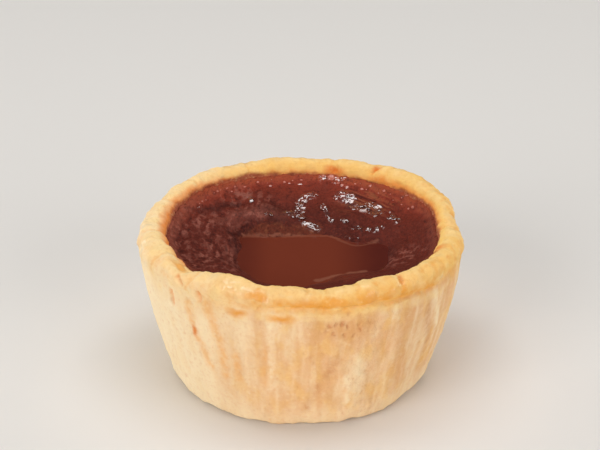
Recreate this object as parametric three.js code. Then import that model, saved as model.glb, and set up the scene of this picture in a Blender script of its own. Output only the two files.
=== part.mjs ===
// A butter tart in three pieces: a pastry cup with a rolled rim, the baked sugar and butter filling
// that has sunk in its middle, and the runny syrup that lies in that hollow.
// Millimetres, +Z up. The tart stands on the middle of its flat foot, and -Y is its front.
import * as THREE from "three";

// Driving sizes of the pastry cup
const RIM_RADIUS = 36.6; // axis to the outermost point of the rim
const HEIGHT = 35.4; // foot to the crest of the rim
const RIM_THICKNESS = 5.9; // the rolled rim is a bead of this diameter
const FOOT_RADIUS = 30.2; // where the wall rises from the foot
const FOOT_ROUND = 2.4; // rounding between foot and wall
const FOOT_LEAN = 0.15; // how far the wall leans out where it leaves the foot, in radians
const WALL_BULGE = 1.3; // how far the wall's control point stands out from a straight line
const CREASE_DROP = 5.0; // crest to the crease under the rim
const CREASE_INSET = 0.3; // the wall's top, just under the rim, lies this far inside the rim
const CREASE_DEPTH = 0.55; // how deep the crease is at its deepest, at the front right
const CREASE_LEAST = 0.1; // share of that depth that is left on the other side
const CREASE_TURN = 0.6; // height in which the crease turns out into the bead
const CREASE_WIDTH = 1.8;
const CRUST_FLOOR = 4.8; // thickness of the pastry under the filling
const CAVITY_FOOT = 25.8; // radius of the cup's inside just above its floor
const CAVITY_ROUND = 3.0; // rounding between the inside's floor and wall
const FLUTE_DEPTH = 0.16; // shallow drag marks down the wall

// Driving sizes of the filling and the syrup
const POOL_LEVEL = 25.8; // height of the syrup's surface
const POOL_LENGTH = 33.6; // the pool is a dented oval, longer from left to right
const POOL_WIDTH = 24.6;
const POOL_SHIFT = { x: 2.6, y: -1.5 }; // the pool's middle, off the tart's axis
const POOL_DEPTH = 3.0;
const POOL_LIP = 0.8; // thickness of the syrup at its edge
const EDGE_FALL = { out: 2.0, share: 0.55 }; // the filling drops steeply away from the rim
const BROW = { out: 0.45, share: 0.62 }; // and again over a brow beside the pool, as shares of the slope
const CRAG_HEIGHT = 0.7; // the crust of burst bubbles on the filling rises and falls this much
const CRAG_SIZE = 5.0;
const SKIN_STEP = 0.9; // on the left a baked skin lies on the filling and ends in a step by the pool
const SKIN_BRINK = [0.08, 0.2]; // the step's foot and top, as shares of the way from pool to rim
const SKIN_FADE = 0.55; // from here to the rim the skin thins out again

const GAP = 0.3; // clearance between the pieces
const SIDES = 90;

// Hand-pressed pastry is never round. A wave goes round the tart a whole number of times; its height
// is in millimetres and it peaks at an angle in degrees, counted from +X towards +Y.
const RIM_WAVES = [
  { turns: 2, height: 0.2, peak: 150 },
  { turns: 3, height: 0.25, peak: 68 },
  { turns: 4, height: 0.45, peak: 36 },
];
const CREST_WAVES = [
  { turns: 1, height: 0.5, peak: -90 },
  { turns: 2, height: 0.25, peak: 90 },
  { turns: 3, height: 0.35, peak: 76 },
  { turns: 4, height: 0.3, peak: 45 },
];
const FOOT_WAVES = [
  { turns: 2, height: 0.5, peak: 63 },
  { turns: 3, height: 0.2, peak: 30 },
  { turns: 9, height: 0.15, peak: 12 },
];
const FLUTE_WAVES = [
  { turns: 13, height: 0.9, peak: 8 },
  { turns: 19, height: 0.7, peak: 3 },
  { turns: 22, height: 0.5, peak: 11 },
];
const SHORE_WAVES = [
  { turns: 7, height: 0.2, peak: 20 },
  { turns: 11, height: 0.15, peak: 5 },
];

// Single lumps and dents: the angle of the middle, the half width in degrees, and the size.
// The rim's stand outwards, and the inward ones thicken it towards the filling.
const RIM_LUMPS = [
  { at: 160, width: 20, size: -0.8 },
  { at: 43, width: 10, size: 1.6 },
  { at: 25, width: 8, size: 0.8 },
  { at: 6, width: 8, size: -1.0 },
  { at: -14, width: 10, size: 0.5 },
];
const INWARD_LUMPS = [
  { at: 200, width: 30, size: 0.9 },
  { at: 42, width: 14, size: 0.8 },
  { at: 12, width: 18, size: -1.2 },
];
// Thumb marks along the crest of the rim rise and dip.
const CREST_LUMPS = [
  { at: -63, width: 9, size: 0.8 },
  { at: -53, width: 5, size: -0.5 },
  { at: -79, width: 6, size: -0.6 },
  { at: -95, width: 8, size: 0.6 },
  { at: -103, width: 4, size: -0.7 },
  { at: -116, width: 11, size: 1.0 },
  { at: -136, width: 8, size: -0.9 },
  { at: 115, width: 7, size: -0.5 },
  { at: 84, width: 7, size: -0.4 },
];
const FOOT_LUMPS = [
  { at: -125, width: 16, size: 0.2 },
  { at: -62, width: 12, size: 0.9 },
  { at: -40, width: 9, size: -1.2 },
];
// The shore bulges into a corner at the back left and draws in at the front right.
const SHORE_LUMPS = [
  { at: 144, width: 13, size: 5.2 },
  { at: 36, width: 11, size: -2.4 },
  { at: 15, width: 9, size: 1.6 },
  { at: -45, width: 20, size: -5.0 },
  { at: -76, width: 12, size: -1.2 },
  { at: -110, width: 20, size: 1.6 },
];
// The filling clings higher to the rim in some places.
const EDGE_LUMPS = [
  { at: 148, width: 26, size: 1.4 },
  { at: 75, width: 26, size: 0.5 },
  { at: 10, width: 20, size: 1.1 },
];
const SKIN_LUMPS = [
  { at: 185, width: 55, size: 1 },
  { at: 112, width: 20, size: 0.8 },
];
const CREASE_LUMPS = [{ at: -62, width: 42, size: 1 }];

// Sizes worked out from the driving ones
const BEAD = RIM_THICKNESS / 2;
const BEAD_AT = new THREE.Vector2(RIM_RADIUS - BEAD, HEIGHT - BEAD);
const CREASE_AT = new THREE.Vector2(RIM_RADIUS - CREASE_INSET, HEIGHT - CREASE_DROP);
const BEAD_START = Math.asin((CREASE_AT.y + CREASE_TURN - BEAD_AT.y) / BEAD);
const SHORE = (POOL_LENGTH + POOL_WIDTH) / 4; // mean radius of the pool
const EDGE_AT = new THREE.Vector2(BEAD_AT.x - BEAD - GAP, BEAD_AT.y); // where the filling meets the rim
const RIM_ZONE = [HEIGHT * 0.3, HEIGHT * 0.9]; // the rim's unevenness fades in over this height
const FOOT_ZONE = HEIGHT * 0.6; // and the foot's has faded out by here
const FLUTE_ZONE = [HEIGHT * 0.3, HEIGHT * 0.7]; // the drag marks are deepest between these heights

const { degToRad, lerp, smoothstep } = THREE.MathUtils;

const waves = (list, angle) =>
  list.reduce((sum, { turns, height, peak }) => sum + height * Math.cos(turns * (angle - degToRad(peak))), 0);

function lumps(list, angle) {
  return list.reduce((sum, { at, width, size }) => {
    const turn = angle - degToRad(at);
    const off = Math.atan2(Math.sin(turn), Math.cos(turn)) / degToRad(width);
    return sum + size * Math.exp(-off * off);
  }, 0);
}

// Smooth seeded noise from -1 to 1 on a square lattice.
function noise(x, y) {
  const column = Math.floor(x);
  const row = Math.floor(y);
  const draw = (i, j) => {
    const wild = Math.sin((column + i) * 127.1 + (row + j) * 311.7) * 43758.5453;
    return 2 * (wild - Math.floor(wild)) - 1;
  };
  const u = smoothstep(x - column, 0, 1);
  const v = smoothstep(y - row, 0, 1);
  return lerp(lerp(draw(0, 0), draw(1, 0), u), lerp(draw(0, 1), draw(1, 1), u), v);
}

// The crags of the baked filling: large lumps, with smaller ones of half the height on them.
function crags(radius, angle) {
  const x = (radius * Math.cos(angle)) / CRAG_SIZE;
  const y = (radius * Math.sin(angle)) / CRAG_SIZE;
  return CRAG_HEIGHT * (noise(x, y) + noise(2 * x, 2 * y + 0.5) / 2);
}

// Distance from the tart's axis to the pool's edge: an oval that isn't on the axis, with an uneven shore.
function shoreRadius(angle) {
  const c = Math.cos(angle) / (POOL_LENGTH / 2);
  const s = Math.sin(angle) / (POOL_WIDTH / 2);
  const cx = POOL_SHIFT.x / (POOL_LENGTH / 2);
  const cy = POOL_SHIFT.y / (POOL_WIDTH / 2);
  const along = c * cx + s * cy;
  const square = c * c + s * s;
  const oval = (along + Math.sqrt(along * along - square * (cx * cx + cy * cy - 1))) / square;
  return oval + waves(SHORE_WAVES, angle) + lumps(SHORE_LUMPS, angle);
}

// Carries a radius of the round layout to the oval one: the pool's edge goes to its shore, and the
// filling's edge stays where it is.
function stretchToShore(radius, angle) {
  const shore = shoreRadius(angle);
  if (radius <= SHORE) return (radius / SHORE) * shore;
  return lerp(shore, EDGE_AT.x, (radius - SHORE) / (EDGE_AT.x - SHORE));
}

// The unevenness that all three pieces share, so that they still fit each other.
function handPressed(radius, angle, z) {
  const high = smoothstep(z, ...RIM_ZONE);
  const low = 1 - smoothstep(z, 0, FOOT_ZONE);
  const crest = smoothstep(z, BEAD_AT.y - BEAD, HEIGHT);
  const share = radius / RIM_RADIUS;
  const inside = 1 - smoothstep(radius, BEAD_AT.x - BEAD, BEAD_AT.x);
  const rim = waves(RIM_WAVES, angle) + lumps(RIM_LUMPS, angle) - inside * lumps(INWARD_LUMPS, angle);
  const foot = waves(FOOT_WAVES, angle) + lumps(FOOT_LUMPS, angle);
  const rise = waves(CREST_WAVES, angle) + crest * lumps(CREST_LUMPS, angle);
  return {
    radius: radius + share * (high * rim + low * foot),
    z: z + share * share * high * rise,
  };
}

// Joins curves end to end into one profile; each comes with its number of steps.
const profileOf = (stretches) =>
  stretches.flatMap(([curve, steps], k) => curve.getPoints(steps).slice(k ? 1 : 0));

const point = (x, y) => new THREE.Vector2(x, y);
const line = (a, b) => new THREE.LineCurve(a, b);
const arc = (centre, radius, from, to) => new THREE.EllipseCurve(centre.x, centre.y, radius, radius, from, to);
const backwards = ([curve, steps]) => [new THREE.SplineCurve(curve.getPoints(steps).reverse()), steps];

// Turns a profile about the axis and moves each point by the piece's own shape, then by hand.
function turned(profile, shape) {
  const geometry = new THREE.LatheGeometry(profile, SIDES);
  const position = geometry.getAttribute("position");
  const rows = profile.length;
  for (let i = 0; i < position.count; i++) {
    const row = i % rows;
    const angle = ((Math.floor(i / rows) % SIDES) / SIDES) * 2 * Math.PI;
    const own = shape(profile[row].x, angle, profile[row].y, row);
    const { radius, z } = handPressed(own.radius, angle, own.z);
    position.setXYZ(i, radius * Math.cos(angle), radius * Math.sin(angle), z);
  }
  geometry.computeVertexNormals();
  return geometry;
}

// The inside of the pastry cup, from its floor up to the bead, moved in by a clearance.
function cavityStretches(clearance) {
  const floor = CRUST_FLOOR + clearance;
  const foot = CAVITY_FOOT - clearance;
  const wallTop = point(BEAD_AT.x - BEAD - clearance, BEAD_AT.y);
  const corner = point(foot - CAVITY_ROUND, floor + CAVITY_ROUND);
  const lean = Math.atan2(wallTop.x - foot, wallTop.y - corner.y);
  const round = arc(corner, CAVITY_ROUND, -Math.PI / 2, -lean);
  return {
    floor: [line(point(0, floor), round.getPoint(0)), 1],
    corner: [round, 3],
    wall: [line(round.getPoint(1), wallTop), 5],
  };
}

function pastryCup() {
  const footCentre = point(FOOT_RADIUS - FOOT_ROUND, FOOT_ROUND);
  const footArc = arc(footCentre, FOOT_ROUND, -Math.PI / 2, -FOOT_LEAN);
  const wallStart = footArc.getPoint(1);
  const wallMiddle = point((wallStart.x + CREASE_AT.x) / 2 + WALL_BULGE, (wallStart.y + CREASE_AT.y) / 2);
  const bead = arc(BEAD_AT, BEAD, BEAD_START, Math.PI);
  const inside = cavityStretches(0);
  const outside = [
    [line(point(0, 0), footArc.getPoint(0)), 2],
    [footArc, 3],
    [new THREE.QuadraticBezierCurve(wallStart, wallMiddle, CREASE_AT), 9],
    [line(CREASE_AT, bead.getPoint(0)), 1],
    [bead, 11],
  ];
  const profile = profileOf([
    ...outside,
    backwards(inside.wall),
    backwards(inside.corner),
    backwards(inside.floor),
  ]);
  const outsideRows = profileOf(outside).length;
  return turned(profile, (radius, angle, z, row) => {
    if (row >= outsideRows || z > BEAD_AT.y) return { radius, z };
    const fromCrease = (z - CREASE_AT.y) / CREASE_WIDTH;
    const crease = CREASE_DEPTH * lerp(CREASE_LEAST, 1, lumps(CREASE_LUMPS, angle));
    const below = smoothstep(z, FOOT_ROUND, FLUTE_ZONE[0]);
    const above = smoothstep(z, FLUTE_ZONE[1], CREASE_AT.y);
    const flute = FLUTE_DEPTH * waves(FLUTE_WAVES, angle) * below * (1 - above);
    return { radius: radius - crease * Math.exp(-fromCrease * fromCrease) + flute, z };
  });
}

function filling() {
  const inside = cavityStretches(GAP);
  const shore = point(SHORE, POOL_LEVEL);
  const fall = EDGE_AT.y - POOL_LEVEL;
  const slope = new THREE.CubicBezierCurve(
    EDGE_AT,
    point(EDGE_AT.x - EDGE_FALL.out, EDGE_AT.y - fall * EDGE_FALL.share),
    point(lerp(SHORE, EDGE_AT.x, BROW.out), POOL_LEVEL + fall * BROW.share),
    shore,
  );
  const bowlBottom = POOL_LEVEL - POOL_DEPTH - GAP;
  const bowlEdge = point(SHORE, POOL_LEVEL - POOL_LIP - GAP);
  const bowl = new THREE.QuadraticBezierCurve(bowlEdge, point(SHORE / 2, bowlBottom), point(0, bowlBottom));
  const sunken = [inside.floor, inside.corner, inside.wall];
  const profile = profileOf([...sunken, [slope, 12], [line(shore, bowlEdge), 1], [bowl, 3]]);
  const topRow = profileOf(sunken).length - 1;
  return turned(profile, (radius, angle, z, row) => {
    if (row < topRow) return { radius, z };
    const stretched = stretchToShore(radius, angle);
    if (radius <= SHORE) return { radius: stretched, z };
    const between = (radius - SHORE) / (EDGE_AT.x - SHORE);
    const crag = crags(stretched, angle) * Math.sin(Math.PI * between);
    const clinging = lumps(EDGE_LUMPS, angle) * between ** 3;
    const skinned = smoothstep(between, ...SKIN_BRINK) * (1 - smoothstep(between, SKIN_FADE, 1));
    const skin = SKIN_STEP * lumps(SKIN_LUMPS, angle) * skinned;
    return { radius: stretched, z: z + crag + clinging + skin };
  });
}

function syrupPool() {
  const edge = SHORE - GAP;
  const bottom = POOL_LEVEL - POOL_DEPTH;
  const rimLow = point(edge, POOL_LEVEL - POOL_LIP);
  const rimHigh = point(edge, POOL_LEVEL);
  const bowl = new THREE.QuadraticBezierCurve(point(0, bottom), point(edge / 2, bottom), rimLow);
  const profile = profileOf([
    [bowl, 3],
    [line(rimLow, rimHigh), 1],
    [line(rimHigh, point(0, POOL_LEVEL)), 2],
  ]);
  return turned(profile, (radius, angle, z) => ({ radius: stretchToShore(radius, angle), z }));
}

const baked = (color, roughness) => new THREE.MeshStandardMaterial({ color, roughness, metalness: 0 });

function named(name, geometry, material) {
  const mesh = new THREE.Mesh(geometry, material);
  mesh.name = name;
  return mesh;
}

const pieces = new THREE.Group();
pieces.add(
  named("pastry_cup", pastryCup(), baked(0xecc88e, 0.7)),
  named("filling", filling(), baked(0x5a2a1e, 0.35)),
  named("syrup_pool", syrupPool(), baked(0x6b3020, 0.12)),
);

// The uneven rim leans a little to one side: its box is brought back over the origin.
const middle = new THREE.Box3().setFromObject(pieces).getCenter(new THREE.Vector3());
pieces.position.set(-middle.x, -middle.y, 0);

const tart = new THREE.Group();
tart.add(pieces);
export default tart;
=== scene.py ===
# %% [markdown]
# # A butter tart
# The tart is a cup of shortcrust pressed into a tin by hand, the sugar and butter filling that baked dark
# and sank in its middle, a pool of runny syrup in the hollow, and the small bubbles that set on the
# filling. The solids are already at their true size and place. They are the frame: each piece made here
# is laid over its solid, so nothing has to be fitted afterwards, and only the surface gets finer.

# %% Load the solids
import math

import bpy
import numpy as np
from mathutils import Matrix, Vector


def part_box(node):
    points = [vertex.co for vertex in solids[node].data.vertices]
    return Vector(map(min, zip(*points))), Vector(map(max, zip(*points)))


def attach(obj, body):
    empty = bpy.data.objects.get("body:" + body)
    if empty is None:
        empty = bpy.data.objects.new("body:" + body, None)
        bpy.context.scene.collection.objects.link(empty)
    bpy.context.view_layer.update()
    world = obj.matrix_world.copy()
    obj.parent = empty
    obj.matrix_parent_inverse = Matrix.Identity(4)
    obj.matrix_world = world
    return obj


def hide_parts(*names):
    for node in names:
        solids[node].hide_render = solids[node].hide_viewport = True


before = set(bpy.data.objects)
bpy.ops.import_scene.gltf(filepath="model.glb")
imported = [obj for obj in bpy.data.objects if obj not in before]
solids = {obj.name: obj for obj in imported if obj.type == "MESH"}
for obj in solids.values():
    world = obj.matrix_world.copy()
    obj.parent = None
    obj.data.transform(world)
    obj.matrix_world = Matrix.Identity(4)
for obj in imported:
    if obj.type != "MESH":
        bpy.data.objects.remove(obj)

MM = 0.001
scene = bpy.context.scene
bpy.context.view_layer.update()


# %% [markdown]
# ## The camera
# The photograph looks down on the tart from the front. How round the rim's oval looks gives the height of
# the view, and the tart's size in pixels gives the lens. The tart sits below the middle of the picture. A
# lens shift could do that, but the other views would keep it, so the camera is simply pitched up a
# little.

# %% Camera
PHOTO_WIDTH = 600
PHOTO_HEIGHT = 450
PIXEL = 0.2277 * MM  # what one pixel covers at the tart
VIEW_DISTANCE = 450 * MM
VIEW_ELEVATION = math.radians(28.5)
TART_MIDDLE = Vector((0, 0, 17 * MM))
MIDDLE_PIXEL = (300.5, 292)
SENSOR_WIDTH = 36

focal_pixels = VIEW_DISTANCE / PIXEL
pitch = math.atan((MIDDLE_PIXEL[1] - PHOTO_HEIGHT / 2) / focal_pixels)
yaw = math.atan((MIDDLE_PIXEL[0] - PHOTO_WIDTH / 2) / focal_pixels)
camera_data = bpy.data.cameras.new("camera")
camera_data.sensor_width = SENSOR_WIDTH
camera_data.lens = SENSOR_WIDTH * focal_pixels / PHOTO_WIDTH
camera = bpy.data.objects.new("camera", camera_data)
backwards = Vector((0, -math.cos(VIEW_ELEVATION), math.sin(VIEW_ELEVATION)))
camera.location = TART_MIDDLE + VIEW_DISTANCE * backwards
camera.rotation_euler = (math.pi / 2 - VIEW_ELEVATION + pitch, 0, yaw)
scene.collection.objects.link(camera)
scene.camera = camera
print("lens in mm:", round(camera_data.lens, 1))

# %% [markdown]
# ## Light and floor
# Pale pastry needs broad light, or its crumb turns harsh. Dark syrup is a mirror: it shows whatever is
# behind the tart at the height of the view, so the world stays dim. Two large softboxes light the front,
# one hangs overhead and glints on the bubbles, and two at the sides behind the tart draw a thin bright
# edge round the pastry.

# %% Softboxes
SOFTBOXES = {  # place and size in metres, power in watts
    "key_light": ((-0.8, -0.9, 0.55), (0.75, 0.75), 9.3),
    "fill_light": ((0.9, -0.85, 0.4), (0.9, 0.9), 8.0),
    "top_light": ((0.0, 0.06, 0.9), (0.9, 0.5), 4.7),
    "left_edge_light": ((-0.95, 0.6, 0.3), (0.5, 0.5), 3.0),
    "right_edge_light": ((0.95, 0.6, 0.3), (0.5, 0.5), 3.0),
}

for name, (place, size, watts) in SOFTBOXES.items():
    lamp_data = bpy.data.lights.new(name, "AREA")
    lamp_data.shape = "RECTANGLE"
    lamp_data.size, lamp_data.size_y = size
    lamp_data.energy = watts
    lamp = bpy.data.objects.new(name, lamp_data)
    lamp.location = place
    lamp.rotation_euler = (TART_MIDDLE - Vector(place)).to_track_quat("-Z", "Y").to_euler()
    scene.collection.objects.link(lamp)
print("softboxes:", ", ".join(SOFTBOXES))

# %% World and floor
WORLD_GREY = 0.06
FLOOR_SIZE = 6.0
FLOOR_COLOUR = (0.80, 0.77, 0.73, 1)
FLOOR_ROUGHNESS = 0.7

world = bpy.data.worlds.new("dim studio")
world.use_nodes = True
world.node_tree.nodes["Background"].inputs["Color"].default_value = (WORLD_GREY, WORLD_GREY, WORLD_GREY, 1)
scene.world = world
scene.view_settings.view_transform = "Standard"

half = FLOOR_SIZE / 2
floor_corners = [(-half, -half, 0), (half, -half, 0), (half, half, 0), (-half, half, 0)]
floor_mesh = bpy.data.meshes.new("floor")
floor_mesh.from_pydata(floor_corners, [], [(0, 1, 2, 3)])
floor_paint = bpy.data.materials.new("floor paint")
floor_paint.use_nodes = True
floor_shader = floor_paint.node_tree.nodes["Principled BSDF"].inputs
floor_shader["Base Color"].default_value = FLOOR_COLOUR
floor_shader["Roughness"].default_value = FLOOR_ROUGHNESS
floor_mesh.materials.append(floor_paint)
floor = bpy.data.objects.new("floor", floor_mesh)
scene.collection.objects.link(floor)
print("floor:", FLOOR_SIZE, "m square")

# %% [markdown]
# ## Writing nodes as sums
# Geometry Nodes and materials are both trees of nodes, and most of those nodes only add and multiply. A
# wire is one node's output, and the class below lets Python's own signs make the Math nodes, so that a
# mask or a height reads like the sum that it is. Every other node comes from the one method `node`.

# %% The wire


class Wire:
    """An output of a node in a tree."""

    def __init__(self, tree, socket=None):
        self.tree = tree
        self.socket = socket

    def node(self, kind, settings=None, values=None, out=0):
        """A new node with those settings and inputs, as the wire of one of its outputs."""
        made = self.tree.nodes.new(kind)
        for name, setting in (settings or {}).items():
            setattr(made, name, setting)
        for key, value in (values or {}).items():
            if isinstance(value, Wire):
                self.tree.links.new(value.socket, made.inputs[key])
            else:
                made.inputs[key].default_value = value
        return Wire(self.tree, made.outputs[out])

    def out(self, name):
        """Another output of the same node."""
        return Wire(self.tree, self.socket.node.outputs[name])

    def maths(self, operation, first, second=0.0):
        return self.node("ShaderNodeMath", {"operation": operation}, {0: first, 1: second})

    def vector(self, operation, other=(0, 0, 0), out=0):
        return self.node("ShaderNodeVectorMath", {"operation": operation}, {0: self, 1: other}, out)

    def scaled(self, factor):
        return self.node("ShaderNodeVectorMath", {"operation": "SCALE"}, {0: self, "Scale": factor})

    def times(self, x, y, z):
        """The vector with each axis multiplied."""
        return self.vector("MULTIPLY", (x, y, z))

    def flat(self):
        """The vector without its height, as seen from above."""
        return self.times(1, 1, 0)

    def length(self):
        return self.vector("LENGTH", out="Value")

    def axis(self, name):
        return self.node("ShaderNodeSeparateXYZ", None, {0: self}, name)

    def point(self, x=0.0, y=0.0, z=0.0):
        """A vector from three numbers."""
        return self.node("ShaderNodeCombineXYZ", None, {"X": x, "Y": y, "Z": z})

    def __add__(self, other):
        return self.maths("ADD", self, other)

    def __sub__(self, other):
        return self.maths("SUBTRACT", self, other)

    def __rsub__(self, other):
        return self.maths("SUBTRACT", other, self)

    def __mul__(self, other):
        return self.maths("MULTIPLY", self, other)

    def __truediv__(self, other):
        return self.maths("DIVIDE", self, other)

    def __rtruediv__(self, other):
        return self.maths("DIVIDE", other, self)

    def __abs__(self):
        return self.maths("ABSOLUTE", self)

    __radd__ = __add__
    __rmul__ = __mul__


print("wires can be added, taken away, multiplied and divided")

# %% [markdown]
# ## Masks
# A mask is a wire that is 1 where something is and 0 where it isn't. The same few masks serve the shapes
# and the colours: noise for what is scattered, cells for pores, and spots and strokes for what lies in
# one place. Both kinds of tree know these nodes, so a crack that is carved by one tree is darkened by the
# other.

# %% Noise
SPREAD = 4  # noise mostly keeps within a quarter of its middle, and this stretches that quarter to 1
CELL_SHIFT = (0.37, 0.61)  # each seed moves the pattern by this, so that it meets other cells


def smooth(value, low, high):
    """0 at low and 1 at high, with soft ends; low may be the larger one."""
    return value.node("ShaderNodeMapRange", {"interpolation_type": "SMOOTHSTEP"}, {0: value, 1: low, 2: high})


def cloudy(where, size, seed, detail=2.0, out=0):
    """Soft noise from 0 to 1, with lumps of that size."""
    values = {"Vector": where, "W": seed, "Scale": 1 / size, "Detail": detail}
    return where.node("ShaderNodeTexNoise", {"noise_dimensions": "4D"}, values, out)


def uneven(where, size, seed, detail=2.0):
    """The same noise, stretched so that most of it lies between -1 and 1."""
    return SPREAD * cloudy(where, size, seed, detail) - SPREAD / 2


def ragged(pattern, where, amount, size, seed, keep=(1, 1, 0)):
    """A pattern's coordinates pushed about by noise, so that nothing drawn on them is straight.

    Each axis is multiplied by what is kept of it, and most patterns are flat.
    """
    push = cloudy(where, size, seed, 3.0, "Color").vector("SUBTRACT", (0.5, 0.5, 0.5))
    return push.scaled(SPREAD * amount).vector("ADD", pattern).times(*keep)


def cells(pattern, size, seed):
    """Distance from points scattered over a flat pattern, in the same units as the size."""
    shifted = pattern.vector("ADD", pattern.point(CELL_SHIFT[0] * seed, CELL_SHIFT[1] * seed))
    values = {"Vector": shifted, "Scale": 1 / size}
    return size * pattern.node("ShaderNodeTexVoronoi", {"voronoi_dimensions": "2D"}, values)


print("noise is stretched", SPREAD, "times where it has to reach from -1 to 1")

# %% Spots and lines


def either(masks):
    """The strongest of several masks."""
    strongest = masks[0]
    for mask in masks[1:]:
        strongest = strongest.maths("MAXIMUM", strongest, mask)
    return strongest


def spot(pattern, place, reach, core=0.3):
    """1 around a place, fading to 0 at the edge of an oval that reaches that far across and along."""
    far = pattern.vector("SUBTRACT", place).times(1 / reach[0], 1 / reach[1], 0).length()
    return smooth(far, 1.0, core)


def stroke(pattern, points, width, core=0.25):
    """1 along a line through points, fading to 0 at that distance from it."""
    masks = []
    for begin, end in zip(points, points[1:]):
        along = Vector(end) - Vector(begin)
        here = pattern.vector("SUBTRACT", begin)
        share = here.vector("DOT_PRODUCT", along / along.length_squared, "Value")
        held = share.node("ShaderNodeClamp", None, {0: share})
        foot = share.node("ShaderNodeVectorMath", {"operation": "SCALE"}, {0: along, "Scale": held})
        masks.append(smooth(here.vector("SUBTRACT", foot).length(), width, core * width))
    return either(masks)


print("a spot is an oval, and a stroke follows a line of points")

# %% [markdown]
# ## Trees that make a piece
# A Geometry Nodes tree has named inputs for its sizes, as a recipe has its amounts. So the amounts are
# listed first. One helper opens a tree with an input for each of them, and another runs it on a plain net
# and keeps the result as a plain mesh, because only a plain mesh leaves Blender whole.

# %% Opening and running a tree


def open_tree(name, amounts):
    """A new geometry tree whose inputs are a net, a finish and the amounts, and the inputs' wires by name."""
    tree = bpy.data.node_groups.new(name, "GeometryNodeTree")
    kinds = {"Net": "Geometry", "Finish": "Material"}
    for label, amount in amounts.items():  # what isn't a number is an object
        kinds[label] = {int: "Int", float: "Float"}.get(type(amount), "Object")
    for label, kind in kinds.items():
        tree.interface.new_socket(label, in_out="INPUT", socket_type="NodeSocket" + kind)
    tree.interface.new_socket("Piece", in_out="OUTPUT", socket_type="NodeSocketGeometry")
    entry = tree.nodes.new("NodeGroupInput")
    return tree, {socket.name: Wire(tree, socket) for socket in entry.outputs if socket.name}


def close_tree(geometry, finish):
    """Ends the tree in Realize Instances and Set Material."""
    whole = geometry.node("GeometryNodeRealizeInstances", None, {"Geometry": geometry})
    painted = whole.node("GeometryNodeSetMaterial", None, {"Geometry": whole, "Material": finish})
    leave = geometry.tree.nodes.new("NodeGroupOutput")
    geometry.tree.links.new(painted.socket, leave.inputs["Piece"])
    print(f"{geometry.tree.name}: {len(geometry.tree.nodes)} nodes")


def make_piece(name, net, tree, amounts, finish):
    """Runs the tree on the net with those amounts, and returns an object with the plain result."""
    piece = bpy.data.objects.new(name, net)
    scene.collection.objects.link(piece)
    modifier = piece.modifiers.new(name, "NODES")
    modifier.node_group = tree
    inputs = {"Finish": finish, **amounts}
    for item in tree.interface.items_tree:
        if item.name in inputs:
            modifier[item.identifier] = inputs[item.name]
    graph = bpy.context.evaluated_depsgraph_get()
    mesh = bpy.data.meshes.new_from_object(piece.evaluated_get(graph), depsgraph=graph)
    piece.modifiers.clear()
    piece.data = mesh
    mesh.name = name
    mesh.shade_smooth()
    triangles = sum(len(face.vertices) - 2 for face in mesh.polygons)
    print(f"{name}: {triangles} triangles")
    return piece


print("a tree takes a net, its amounts and a finish")

# %% [markdown]
# ## Steps that repeat
# Both large pieces go through the same few steps: read where a point is, look at the solid, move the
# point, iron the moves, and raise the relief. A field such as the position is read anew at each step, so
# one wire serves before and after a move.

# %% Steps of a tree


def position(wire):
    return wire.node("GeometryNodeInputPosition")


def shape_of(thing):
    """The mesh of an object that is given to the tree."""
    return thing.node("GeometryNodeObjectInfo", None, {"Object": thing}, "Geometry")


def carried(wire, name):
    """A number that each point carries with it."""
    return wire.node("GeometryNodeInputNamedAttribute", None, {"Name": name}, "Attribute")


def ironed(vectors, rounds, weight=1.0):
    """Vectors evened out between neighbouring points."""
    values = {0: vectors, "Iterations": rounds, "Weight": weight}
    return vectors.node("GeometryNodeBlurAttribute", {"data_type": "FLOAT_VECTOR"}, values)


def moved(geometry, **by):
    """The geometry with its points at a Position, or moved by an Offset."""
    return geometry.node("GeometryNodeSetPosition", None, {"Geometry": geometry, **by})


def raised(geometry, height):
    """The geometry with its points moved along their normals."""
    return moved(geometry, Offset=geometry.node("GeometryNodeInputNormal").scaled(height))


print("steps: look, iron, move, raise")

# %% [markdown]
# ## The pastry cup
# The real cup is a ball of dough pressed up the sides of a tin, with its edge rolled over and pinched.
# The solid has that form with few faces. To show crumb, drag marks and cracks it needs a surface of many
# more, and subdividing loose triangles gives star-shaped creases. So a fine net is turned on the axis
# with the cup's own profile, and a tree drapes it over the solid, as cling film over a bowl: each point
# moves to the nearest place on the solid, and the moves are ironed a little so that no facet shows.

# %% A net turned about the axis


def turned_net(name, profile, columns):
    """A closed net turned about the axis, from a profile that starts and ends on it."""
    turn = np.arange(columns) * 2 * np.pi / columns
    rings = np.array(profile[1:-1])
    ring_points = np.stack([
        rings[:, :1] * np.cos(turn),
        rings[:, :1] * np.sin(turn),
        np.repeat(rings[:, 1:2], columns, axis=1),
    ], axis=-1).reshape(-1, 3)
    points = np.vstack([ring_points, (0, 0, profile[0][1]), (0, 0, profile[-1][1])])
    here = np.arange(columns)
    beyond = (here + 1) % columns
    lower = np.arange(len(rings) - 1)[:, None] * columns
    upper = lower + columns
    quads = np.stack([lower + here, lower + beyond, upper + beyond, upper + here], axis=-1).reshape(-1, 4)
    last = (len(rings) - 1) * columns
    first_pole = len(ring_points)
    fans = [(first_pole, b, a) for a, b in zip(here, beyond)]
    fans += [(first_pole + 1, last + a, last + b) for a, b in zip(here, beyond)]
    net = bpy.data.meshes.new(name)
    net.from_pydata(points.tolist(), [], quads.tolist() + [tuple(int(v) for v in fan) for fan in fans])
    print(f"{name}: {len(points)} points")
    return net


print("a turned net is closed by a fan of triangles at each end")

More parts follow.
